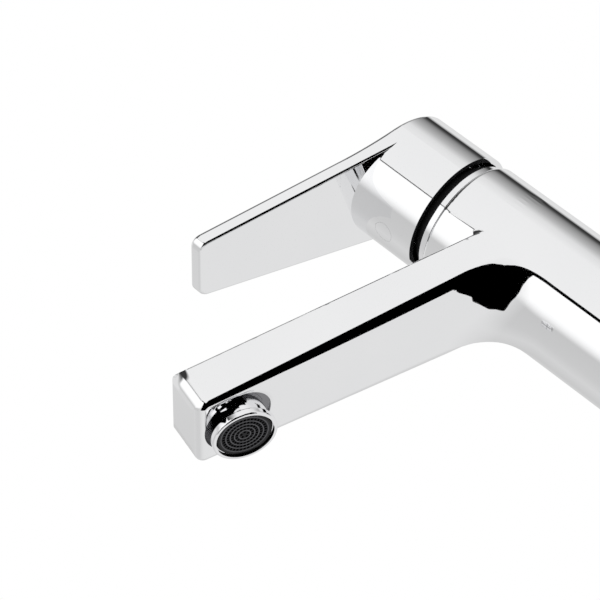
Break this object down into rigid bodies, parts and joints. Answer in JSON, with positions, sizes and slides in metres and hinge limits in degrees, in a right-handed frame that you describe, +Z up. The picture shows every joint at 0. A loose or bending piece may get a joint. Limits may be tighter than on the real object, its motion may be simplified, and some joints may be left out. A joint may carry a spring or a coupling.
{
  "type": "bathroom mixer faucet",
  "caption": "Single-lever chrome basin mixer with a rising flat bar spout, tilted aerator and ceramic disc cartridge.",
  "frame": {"origin": "on the column's axis in the plane of the deck, under the base of the column", "axes": "+Z up along the column, -Y along the spout towards the basin, +X to the right of someone at the basin's far side looking along +Y"},
  "size_m": [0.05, 0.1559, 0.1971],
  "materials": {
    "chrome": "polished",
    "steel": "zinc plated",
    "dark_plastic": "satin",
    "white_plastic": "satin",
    "red_plastic": "satin",
    "ceramic": "lapped",
    "brass": "machined",
    "rubber": "matte"
  },
  "bodies": {
    "fixed_group": {"faucet_body": "chrome", "dome_ring": "chrome", "aerator_housing": "chrome", "fixing_stud": "steel", "clamp_plate": "steel", "aerator_insert": "dark_plastic", "aerator_strainer": "dark_plastic", "aerator_regulator": "white_plastic", "cartridge_housing": "white_plastic", "cartridge_base": "white_plastic", "limit_ring": "red_plastic", "fixed_disc": "ceramic", "retaining_nut": "brass", "fixing_nut": "brass", "aerator_seal": "rubber", "port_seals": "rubber", "cartridge_o_ring": "rubber", "base_seal": "rubber", "clamp_washer": "rubber"},
    "turret_group": {"turret": "white_plastic", "pivot_pin": "steel"},
    "handle_group": {"lever_handle": "chrome", "lever_stem": "brass", "grub_screw": "steel", "screw_cover": "chrome"},
    "slider_group": {"moving_disc": "ceramic", "disc_carrier": "white_plastic"}
  },
  "joints": [
    {"name": "handle_swivel", "type": "hinge", "parent": "fixed_group", "child": "turret_group", "pos_m": [0, 0, 0.086], "axis": [0, 0, 1], "range_deg": [-45, 45]},
    {"name": "handle_lift", "type": "hinge", "parent": "turret_group", "child": "handle_group", "pos_m": [0, 0, 0.086], "axis": [-1, 0, 0], "range_deg": [0, 25]},
    {"name": "disc_slide", "type": "slide", "parent": "turret_group", "child": "slider_group", "axis": [0, -1, 0], "range_m": [0, 0.0044]}
  ],
  "couplings": [
    {"joint": "disc_slide", "follows": "handle_lift", "m_per_rad": 0.00992}
  ]
}
